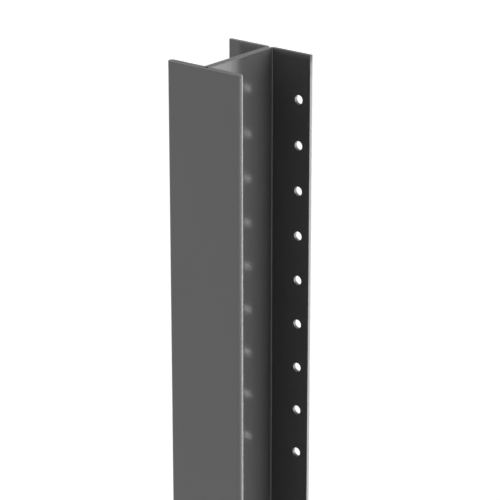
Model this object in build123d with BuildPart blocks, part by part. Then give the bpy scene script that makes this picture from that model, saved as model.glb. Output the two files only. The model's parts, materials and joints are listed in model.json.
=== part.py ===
"""Slotted steel fence post: one strip of coated sheet, roll-formed into an H section.

The strip runs from the free edge of the rear flange along the web, folds back on itself
at each side of the front flange, and returns along the web to the other rear edge. So the
front flange and the web are two plies thick, and the rear flange is a single ply.

Frame: +Z up the post, -Y towards the front flange, origin at the middle of the foot.
"""

import os

from build123d import *

# Driving dimensions, in millimetres
post_length = 1800.0    # foot to top end
post_depth = 56.0       # front face to rear face
front_width = 48.0      # folded flange, over its two rounded tips
rear_width = 54.0       # plain flange, between its two cut edges
sheet = 2.0             # the strip with its coat
seam_gap = 0.2          # between two plies that are rolled flat together
bend_radius = 0.8       # inside radius of the bends where the web meets the flanges
hole_diameter = 5.0     # screw holes in the rear flange
hole_edge = 7.4         # hole centre to the cut edge of the rear flange
hole_pitch = 25.0       # along a row
hole_count = 9          # in each row
first_hole = 25.0       # top end to the centre of the first hole

# The strip's middle line, worked out from the sizes above
fold_radius = (sheet + seam_gap) / 2
turn_radius = bend_radius + sheet / 2
web_line = (sheet + seam_gap) / 2
front_line = (sheet - post_depth) / 2
rear_line = (post_depth - sheet) / 2
fold_centre = front_width / 2 - fold_radius - sheet / 2

# The screw holes, as a grid centred on its own middle height
row_spacing = rear_width - 2 * hole_edge
row_length = (hole_count - 1) * hole_pitch
row_middle = post_length - first_hole - row_length / 2
rear_face = Plane(origin=(0, post_depth / 2, row_middle), x_dir=(1, 0, 0), z_dir=(0, 1, 0))

# The post: half of the strip's middle line, given the sheet's thickness, mirrored and drawn out
with BuildPart() as fence_post:
    with BuildSketch() as section:
        with BuildLine() as strip:
            outer_ply = Line((0, front_line), (fold_centre, front_line))
            fold = JernArc(outer_ply @ 1, outer_ply % 1, fold_radius, 180)
            inner_ply = Line(fold @ 1, (web_line + turn_radius, (fold @ 1).Y))
            front_bend = JernArc(inner_ply @ 1, inner_ply % 1, turn_radius, -90)
            web = Line(front_bend @ 1, (web_line, rear_line - turn_radius))
            rear_bend = JernArc(web @ 1, web % 1, turn_radius, -90)
            flange = Line(rear_bend @ 1, (rear_width / 2, rear_line))
        trace(line_width=sheet)
        mirror(about=Plane.YZ)
    extrude(amount=post_length)
    with Locations(rear_face):
        with GridLocations(row_spacing, hole_pitch, 2, hole_count):
            Hole(hole_diameter / 2, depth=sheet)

fence_post.part.label = "fence_post"

os.makedirs("parts", exist_ok=True)
export_step(fence_post.part, "parts/fence_post.step")
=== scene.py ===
"""Looks of the slotted steel fence post.

The post is laid out flat as its blank, with punched holes and softly coated edges, and then
rolled to its section by a formula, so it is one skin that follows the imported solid. Lengths
are in metres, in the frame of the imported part: +Z up, -Y towards the front flange.
"""

import json
import math

import bmesh
import bpy
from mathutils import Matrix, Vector


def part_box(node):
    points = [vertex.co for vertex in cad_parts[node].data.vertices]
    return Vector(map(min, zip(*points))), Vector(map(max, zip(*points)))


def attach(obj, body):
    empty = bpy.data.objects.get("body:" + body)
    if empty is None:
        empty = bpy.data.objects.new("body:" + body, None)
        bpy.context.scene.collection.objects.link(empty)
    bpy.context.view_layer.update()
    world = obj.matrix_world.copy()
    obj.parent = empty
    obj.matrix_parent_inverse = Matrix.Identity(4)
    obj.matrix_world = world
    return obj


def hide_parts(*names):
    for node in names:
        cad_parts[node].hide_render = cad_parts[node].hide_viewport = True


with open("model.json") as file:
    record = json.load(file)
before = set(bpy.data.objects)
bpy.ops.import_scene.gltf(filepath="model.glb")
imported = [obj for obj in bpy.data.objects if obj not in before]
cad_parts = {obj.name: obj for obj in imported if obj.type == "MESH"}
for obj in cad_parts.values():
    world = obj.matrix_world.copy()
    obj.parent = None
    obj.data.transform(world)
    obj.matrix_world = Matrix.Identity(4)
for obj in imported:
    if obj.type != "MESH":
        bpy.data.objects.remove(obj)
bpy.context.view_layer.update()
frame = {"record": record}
scene = bpy.context.scene
MM = 0.001
QUARTER = math.pi / 2
WHITE = (1, 1, 1, 1)

# Sizes of the section, as the part's source has them
SHEET = 2.0 * MM
SEAM_GAP = 0.2 * MM
BEND_RADIUS = 0.8 * MM
FRONT_WIDTH = 48.0 * MM
HOLES_IN_ROW = 9

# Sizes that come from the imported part
post_low, post_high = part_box("fence_post")
REAR_WIDTH = post_high.x - post_low.x
LENGTH = post_high.z - post_low.z
MOUNTS = {mount["name"]: mount for mount in frame["record"]["mounts"]}
HOLE_GRID = MOUNTS["screw_holes_outer"]
HOLE_RADIUS = HOLE_GRID["dims"]["hole_r_mm"] * MM
HOLE_X = HOLE_GRID["dims"]["spacing_x_mm"] * MM / 2
HOLE_ROW_LENGTH = HOLE_GRID["dims"]["spacing_y_mm"] * MM
HOLE_PITCH = HOLE_ROW_LENGTH / (HOLES_IN_ROW - 1)
FIRST_HOLE_Z = HOLE_GRID["pos_m"][2] + HOLE_ROW_LENGTH / 2

# Finish: a semi-gloss anthracite coat; slit edges lighter for a thin coat and a painted highlight
COAT_DARK = (0.094, 0.094, 0.095, 1)
COAT_LIGHT = (0.106, 0.106, 0.107, 1)
COAT_LEVEL = 0.45
ROUGH_LOW = 0.18
ROUGH_HIGH = 0.24
# Colour of the slit edges: a thinner coat, plus a painted highlight for the light the cut edges catch
EDGE_COAT_AND_HIGHLIGHT = (0.19, 0.19, 0.19, 1)
EDGE_START = 0.1 * MM
EDGE_FULL = 0.025 * MM
PEEL_STRENGTH = 0.03
PEEL_DEPTH = 0.02 * MM

# Noises of the finish: grains in a metre across the post, share of them along it, detail
CLOUDS = (14.0, 0.4, 3.0)
GRAIN = (1500.0, 1.0, 1.0)
STREAKS = (260.0, 0.015, 2.0)
PEEL = (620.0, 1.0, 1.0)

# Stretches of the noises' values that are spread over the whole tone or gloss
TONE_RANGE = (0.7, 1.3)
STREAK_RANGE = (0.3, 0.7)

# Studio: bearings run from the front of the post towards its right
AROUND_LIGHT = 0.02
FLOOR_HALF = 40.0
FLOOR_COLOUR = (0.6, 0.6, 0.6, 1)
FLOOR_GLOW = 0.717

# Lamps: name, bearing, height and breadth in degrees, strength
LAMPS = (
    ("soft_key", 117, 18, 58, 3.5),
    ("front_fill", -6, 16, 45, 0.55),
    ("low_fill", -4.5, 1.2, 4, 1.22),
    ("left_fill", 250, 20, 50, 1.0),
)

# Cards that show only in reflections: name, bearing in degrees, level
CARD_DISTANCE = 2.5
SOFTBOX_WIDTH = 0.88
SOFTBOX_FOOT = 0.02
SOFTBOX_TOP = 1.7
SOFTBOXES = (
    ("softbox_front", 64, 2.2),
    ("softbox_right", 105, 7.4),
    ("softbox_middle", 145, 5.0),
    ("softbox_back", 165, 7.4),
)
FLAG_BEARING = 220
FLAG_WIDTH = 2.2
FLAG_FOOT = 1.9
FLAG_TOP = 3.8
FLAG_LEVEL = 0.65

# Camera, fitted to the photograph's edges and holes
SENSOR = 36.0
PHOTO_PIXELS = 500
FOCAL_PIXELS = 2404.6
CAMERA_BEARING = 38.976
CAMERA_HEIGHT = 19.620
CAMERA_DISTANCE = 1.26208
CAMERA_AIM = (8.166 * MM, 0.0, LENGTH - 103.12 * MM)
CLIP_START = 0.01
CLIP_END = 200.0

# Fineness of the skin
COAT_ROUND = 0.15 * MM
ROUND_STEPS = 4
BEND_STEP = math.radians(7.5)
HOLE_STEPS = 48
LEVEL_STEP = 0.1

# Half of the strip's middle line, from the middle of the front face to a cut edge: length, turn
FOLD_RADIUS = (SHEET + SEAM_GAP) / 2
TURN_RADIUS = BEND_RADIUS + SHEET / 2
WEB_LINE = (SHEET + SEAM_GAP) / 2
FRONT_LINE = post_low.y + SHEET / 2
REAR_LINE = post_high.y - SHEET / 2
FOLD_CENTRE = FRONT_WIDTH / 2 - FOLD_RADIUS - SHEET / 2
FLANGE_START = WEB_LINE + TURN_RADIUS
RUNS = (
    (FOLD_CENTRE, 0.0),
    (math.pi * FOLD_RADIUS, math.pi),
    (FOLD_CENTRE - FLANGE_START, 0.0),
    (QUARTER * TURN_RADIUS, -QUARTER),
    (REAR_LINE - FRONT_LINE - 2 * FOLD_RADIUS - 2 * TURN_RADIUS, 0.0),
    (QUARTER * TURN_RADIUS, -QUARTER),
    (REAR_WIDTH / 2 - FLANGE_START, 0.0),
)
HALF_STRIP = sum(length for length, turn in RUNS)
FLANGE_RUN = RUNS[-1][0]


def roll(along):
    """Point of the section at a distance along the strip, with its direction and left side there."""
    side = 1 if along >= 0 else -1
    left_over = abs(along)
    x, y, heading = 0.0, FRONT_LINE, 0.0
    for length, turn in RUNS:
        step = min(left_over, length)
        if turn:
            radius = length / turn
            ahead = heading + step / radius
            x += radius * (math.sin(ahead) - math.sin(heading))
            y -= radius * (math.cos(ahead) - math.cos(heading))
            heading = ahead
        else:
            x += step * math.cos(heading)
            y += step * math.sin(heading)
        left_over -= step
        if left_over <= 0:
            break
    point = Vector((side * x, y, 0))
    direction = Vector((math.cos(heading), side * math.sin(heading), 0))
    left = Vector((-side * math.sin(heading), math.cos(heading), 0))
    return point, direction, left


def strip_stations():
    """Distances along the strip with a line of points: ends of runs, and steps round each bend."""
    half = [0.0]
    for length, turn in RUNS:
        steps = max(1, round(abs(turn) / BEND_STEP))
        start = half[-1]
        half.extend(start + length * i / steps for i in range(1, steps + 1))
    half[-1] -= COAT_ROUND
    return [-s for s in reversed(half[1:])] + half


def strip_levels():
    """Heights with a line of points: the ends, the hole cells and even steps below them."""
    cells = [FIRST_HOLE_Z + HOLE_PITCH / 2 - HOLE_PITCH * i for i in range(HOLES_IN_ROW + 1)]
    foot = COAT_ROUND
    steps = round((cells[-1] - foot) / LEVEL_STEP)
    plain = [foot + (cells[-1] - foot) * i / steps for i in range(steps)]
    return plain + cells[::-1] + [LENGTH - COAT_ROUND]


def round_profile():
    """Inset, height and normal of each line round a coated edge, from left skin to right skin."""
    quarter = []
    for i in range(ROUND_STEPS + 1):
        angle = QUARTER * i / ROUND_STEPS
        inset = COAT_ROUND * (1 - math.sin(angle))
        height = SHEET / 2 - COAT_ROUND * (1 - math.cos(angle))
        quarter.append((inset, height, math.sin(angle), math.cos(angle)))
    return quarter + [(inset, -height, out, -up) for inset, height, out, up in reversed(quarter)]


class Skin:
    """Points and faces of the blank, rolled to the section as they are added."""

    def __init__(self):
        self.points = []
        self.normals = []
        self.faces = []

    def point(self, along, level, height, normal):
        """Adds a point of the blank by its place and height over the middle line."""
        place, direction, left = roll(along)
        self.points.append(place + left * height + Vector((0, 0, level)))
        facing = direction * normal[0] + left * normal[1] + Vector((0, 0, normal[2]))
        self.normals.append(facing.normalized())
        return len(self.points) - 1

    def bridge(self, loops):
        """Adds quads between closed loops of as many points, each with the next."""
        for one, other in zip(loops, loops[1:]):
            count = len(one)
            for i in range(count):
                j = (i + 1) % count
                self.faces.append((one[i], one[j], other[j], other[i]))


def outline_of(columns, rows):
    """The border of a grid, as pairs of indices, once round."""
    border = [(i, 0) for i in range(columns)]
    border += [(columns - 1, j) for j in range(1, rows)]
    border += [(i, rows - 1) for i in range(columns - 2, -1, -1)]
    border += [(0, j) for j in range(rows - 2, 0, -1)]
    return border


def hole_loops(skin, centre, level):
    """The wall of one hole with its coated rims. Gives its first and last lines of points."""
    loops = []
    for inset, height, out, up in round_profile():
        loop = []
        for k in range(HOLE_STEPS):
            angle = 2 * math.pi * (k + 0.5) / HOLE_STEPS
            c, s = math.cos(angle), math.sin(angle)
            radius = HOLE_RADIUS + inset
            normal = (-out * c, up, -out * s)
            loop.append(skin.point(centre + radius * c, level + radius * s, height, normal))
        loops.append(loop)
    skin.bridge(loops)
    return loops[0], loops[-1]


def close_cell(skin, corners, loop):
    """Four faces between the hole in a cell and the cell's corners, given from low left on."""
    # The loop starts at the right, so its low left point is five eighths of the way round
    low_left = 5 * HOLE_STEPS // 8
    quarter = HOLE_STEPS // 4
    for side in range(4):
        start = low_left + side * quarter
        arc = [loop[(start + k) % HOLE_STEPS] for k in range(quarter + 1)]
        skin.faces.append((corners[side], corners[(side + 1) % 4], *reversed(arc)))


def build_post():
    """The whole skin: two faces of the sheet, the edges round them, and the rear flange's holes."""
    skin = Skin()
    stations = strip_stations()
    levels = strip_levels()
    columns, rows = len(stations), len(levels)
    top_row = rows - 2
    hole_rows = range(top_row - HOLES_IN_ROW, top_row)
    hole_centre = HALF_STRIP - FLANGE_RUN + HOLE_X - FLANGE_START

    # Points on both faces of the sheet
    sides = []
    for facing in (1, -1):
        normal = (0, facing, 0)
        height = facing * SHEET / 2
        sides.append([[skin.point(s, z, height, normal) for z in levels] for s in stations])

    # Faces between them, with the holes in the outermost columns
    for i in range(columns - 1):
        for j in range(rows - 1):
            cells = [(grid[i][j], grid[i + 1][j], grid[i + 1][j + 1], grid[i][j + 1]) for grid in sides]
            if i in (0, columns - 2) and j in hole_rows:
                centre = hole_centre if i else -hole_centre
                rims = hole_loops(skin, centre, (levels[j] + levels[j + 1]) / 2)
                for cell, rim in zip(cells, rims):
                    close_cell(skin, cell, rim)
            else:
                skin.faces.extend(cells)

    # Coated edge round the whole blank
    border = outline_of(columns, rows)
    loops = [[sides[0][i][j] for i, j in border]]
    for inset, height, out, up in round_profile()[1:-1]:
        loop = []
        for i, j in border:
            across = (i == columns - 1) - (i == 0)
            upward = (j == rows - 1) - (j == 0)
            share = COAT_ROUND - inset
            place = (stations[i] + share * across, levels[j] + share * upward)
            loop.append(skin.point(*place, height, (out * across, up, out * upward)))
        loops.append(loop)
    loops.append([sides[1][i][j] for i, j in border])
    skin.bridge(loops)
    return skin


def mesh_of(skin, name):
    """A mesh with the skin's own smooth normals and outward faces."""
    mesh = bpy.data.meshes.new(name)
    mesh.from_pydata(skin.points, [], skin.faces)
    work = bmesh.new()
    work.from_mesh(mesh)
    bmesh.ops.recalc_face_normals(work, faces=work.faces)
    work.to_mesh(mesh)
    work.free()
    mesh.shade_smooth()
    mesh.normals_split_custom_set_from_vertices(skin.normals)
    return mesh


def feed(tree, socket, value):
    """Sets a socket to a constant, or links another node's output to it."""
    if isinstance(value, bpy.types.NodeSocket):
        tree.links.new(value, socket)
    else:
        socket.default_value = value


def node(tree, kind, **values):
    """A new shader node with some of its inputs fed by name."""
    made = tree.nodes.new("ShaderNode" + kind)
    for name, value in values.items():
        feed(tree, made.inputs[name], value)
    return made


def calculate(tree, operation, *values):
    """The result of a sum or another operation on a few values."""
    made = node(tree, "Math")
    made.operation = operation
    for socket, value in zip(made.inputs, values):
        feed(tree, socket, value)
    return made.outputs[0]


def noise(tree, place, layer):
    """Noise at a place, drawn out along the post where it has fewer grains that way."""
    grains, share_along, detail = layer
    squeeze = node(tree, "Mapping", Vector=place, Scale=(grains, grains, grains * share_along))
    return node(tree, "TexNoise", Vector=squeeze.outputs[0], Scale=1.0, Detail=detail).outputs[0]


def span(tree, value, old, new):
    """A value taken from one range to another, held at its ends."""
    ranged = node(tree, "MapRange")
    for socket, number in zip(ranged.inputs, (value, *old, *new)):
        feed(tree, socket, number)
    return ranged.outputs[0]


def blend(tree, share, one, other):
    """Two colours mixed by a share."""
    mix = node(tree, "Mix", Factor=share)
    mix.data_type = "RGBA"
    feed(tree, mix.inputs[6], one)
    feed(tree, mix.inputs[7], other)
    return mix.outputs[2]


def coated_steel():
    """Anthracite coat: clouded tone, fine grain, faint streaks from the rollers, light orange peel."""
    material = bpy.data.materials.new("anthracite_coat")
    material.use_nodes = True
    tree = material.node_tree
    shader = tree.nodes["Principled BSDF"]
    shader.inputs["Metallic"].default_value = 0.0
    shader.inputs["Specular IOR Level"].default_value = COAT_LEVEL
    place = node(tree, "TexCoord").outputs["Object"]

    # Tone of the coat; lighter along the slit edges, partly for the thin coat there and partly as a
    # painted highlight
    tone = calculate(tree, "ADD", noise(tree, place, CLOUDS), noise(tree, place, GRAIN))
    coat = blend(tree, span(tree, tone, TONE_RANGE, (0.0, 1.0)), COAT_DARK, COAT_LIGHT)
    parts = node(tree, "SeparateXYZ", Vector=place)
    outward = calculate(tree, "ABSOLUTE", parts.outputs["X"])
    edge = REAR_WIDTH / 2
    thin_and_lit_edge = span(tree, outward, (edge - EDGE_START, edge - EDGE_FULL), (0.0, 1.0))
    feed(tree, shader.inputs["Base Color"], blend(tree, thin_and_lit_edge, coat, EDGE_COAT_AND_HIGHLIGHT))

    # Streaks in the gloss, along the way the strip was rolled
    streaks = noise(tree, place, STREAKS)
    feed(tree, shader.inputs["Roughness"], span(tree, streaks, STREAK_RANGE, (ROUGH_LOW, ROUGH_HIGH)))

    # Orange peel
    bumps = noise(tree, place, PEEL)
    peel = node(tree, "Bump", Strength=PEEL_STRENGTH, Distance=PEEL_DEPTH, Height=bumps)
    feed(tree, shader.inputs["Normal"], peel.outputs["Normal"])
    return material


def towards(bearing, height):
    """Unit direction to a place at a bearing and height, in degrees, as seen from the post."""
    turn, lift = math.radians(bearing), math.radians(height)
    level = math.cos(lift)
    return Vector((math.sin(turn) * level, -math.cos(turn) * level, math.sin(lift)))


def seen_rays(tree):
    """1 for rays that look at the background: from the camera, in a reflection or through glass."""
    path = node(tree, "LightPath").outputs
    either = calculate(tree, "MAXIMUM", path["Is Camera Ray"], path["Is Glossy Ray"])
    return calculate(tree, "MAXIMUM", either, path["Is Transmission Ray"])


def light_world():
    """A white background where it is looked at, and a plain grey level of light from all round."""
    world = bpy.data.worlds.new("studio")
    scene.world = world
    world.use_nodes = True
    tree = world.node_tree
    around = tree.nodes["Background"]
    around.inputs["Color"].default_value = WHITE
    around.inputs["Strength"].default_value = AROUND_LIGHT
    white = node(tree, "Background", Color=WHITE, Strength=1.0)
    mix = node(tree, "MixShader")
    for socket, value in zip(mix.inputs, (seen_rays(tree), around.outputs[0], white.outputs[0])):
        feed(tree, socket, value)
    feed(tree, tree.nodes["World Output"].inputs["Surface"], mix.outputs[0])


def studio_sheet(name, corners):
    """A flat sheet of the studio with four corners, and the node tree of its new material."""
    mesh = bpy.data.meshes.new(name)
    mesh.from_pydata(corners, [], [(0, 1, 2, 3)])
    sheet = bpy.data.objects.new(name, mesh)
    scene.collection.objects.link(sheet)
    material = bpy.data.materials.new(name)
    material.use_nodes = True
    mesh.materials.append(material)
    return sheet, material.node_tree


def make_floor():
    """A pale floor that looks white where nothing shades it, and keeps the post's shadow."""
    half = FLOOR_HALF
    corners = [(-half, -half, 0), (half, -half, 0), (half, half, 0), (-half, half, 0)]
    floor, tree = studio_sheet("floor", corners)
    shader = tree.nodes["Principled BSDF"]
    shader.inputs["Base Color"].default_value = FLOOR_COLOUR
    shader.inputs["Roughness"].default_value = 1.0
    shader.inputs["Specular IOR Level"].default_value = 0.0
    shader.inputs["Emission Color"].default_value = WHITE
    glow = calculate(tree, "MULTIPLY", seen_rays(tree), FLOOR_GLOW)
    feed(tree, shader.inputs["Emission Strength"], glow)


def make_card(name, bearing, width, foot, top, level):
    """An upright card beside the post that glows at a level and shows only in reflections."""
    middle = towards(bearing, 0) * CARD_DISTANCE
    across = towards(bearing + 90, 0) * width / 2
    low, high = Vector((0, 0, foot)), Vector((0, 0, top))
    left, right = middle - across, middle + across
    card, tree = studio_sheet(name, [left + low, right + low, right + high, left + high])
    tree.nodes.remove(tree.nodes["Principled BSDF"])
    glow = node(tree, "Emission", Color=WHITE, Strength=level)
    feed(tree, tree.nodes["Material Output"].inputs["Surface"], glow.outputs[0])
    card.visible_camera = False
    card.visible_diffuse = False
    card.visible_transmission = False
    card.visible_shadow = False


def make_lamp(name, bearing, height, breadth, strength):
    """A soft lamp far off, the same all along the post."""
    lamp = bpy.data.lights.new(name, "SUN")
    lamp.energy = strength
    lamp.angle = math.radians(breadth)
    sun = bpy.data.objects.new(name, lamp)
    sun.rotation_euler = towards(bearing, height).to_track_quat("Z", "Y").to_euler()
    scene.collection.objects.link(sun)


def make_camera():
    """The photograph's viewpoint: from the front right, looking a little down on the top."""
    lens = bpy.data.cameras.new("camera")
    lens.sensor_width = SENSOR
    lens.lens = FOCAL_PIXELS / PHOTO_PIXELS * SENSOR
    lens.clip_start = CLIP_START
    lens.clip_end = CLIP_END
    camera = bpy.data.objects.new("camera", lens)
    back = towards(CAMERA_BEARING, CAMERA_HEIGHT)
    camera.location = Vector(CAMERA_AIM) + back * CAMERA_DISTANCE
    camera.rotation_mode = "QUATERNION"
    camera.rotation_quaternion = back.to_track_quat("Z", "Y")
    scene.collection.objects.link(camera)
    bpy.context.scene.camera = camera


# The post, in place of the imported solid
post = bpy.data.objects.new("rolled_post", mesh_of(build_post(), "rolled_post"))
scene.collection.objects.link(post)
post.data.materials.append(coated_steel())
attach(post, "root")
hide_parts("fence_post")

# The studio
light_world()
make_floor()
for name, bearing, level in SOFTBOXES:
    make_card(name, bearing, SOFTBOX_WIDTH, SOFTBOX_FOOT, SOFTBOX_TOP, level)
make_card("flag_left", FLAG_BEARING, FLAG_WIDTH, FLAG_FOOT, FLAG_TOP, FLAG_LEVEL)
for name, bearing, height, breadth, strength in LAMPS:
    make_lamp(name, bearing, height, breadth, strength)
make_camera()
bpy.context.scene.view_settings.view_transform = "Standard"
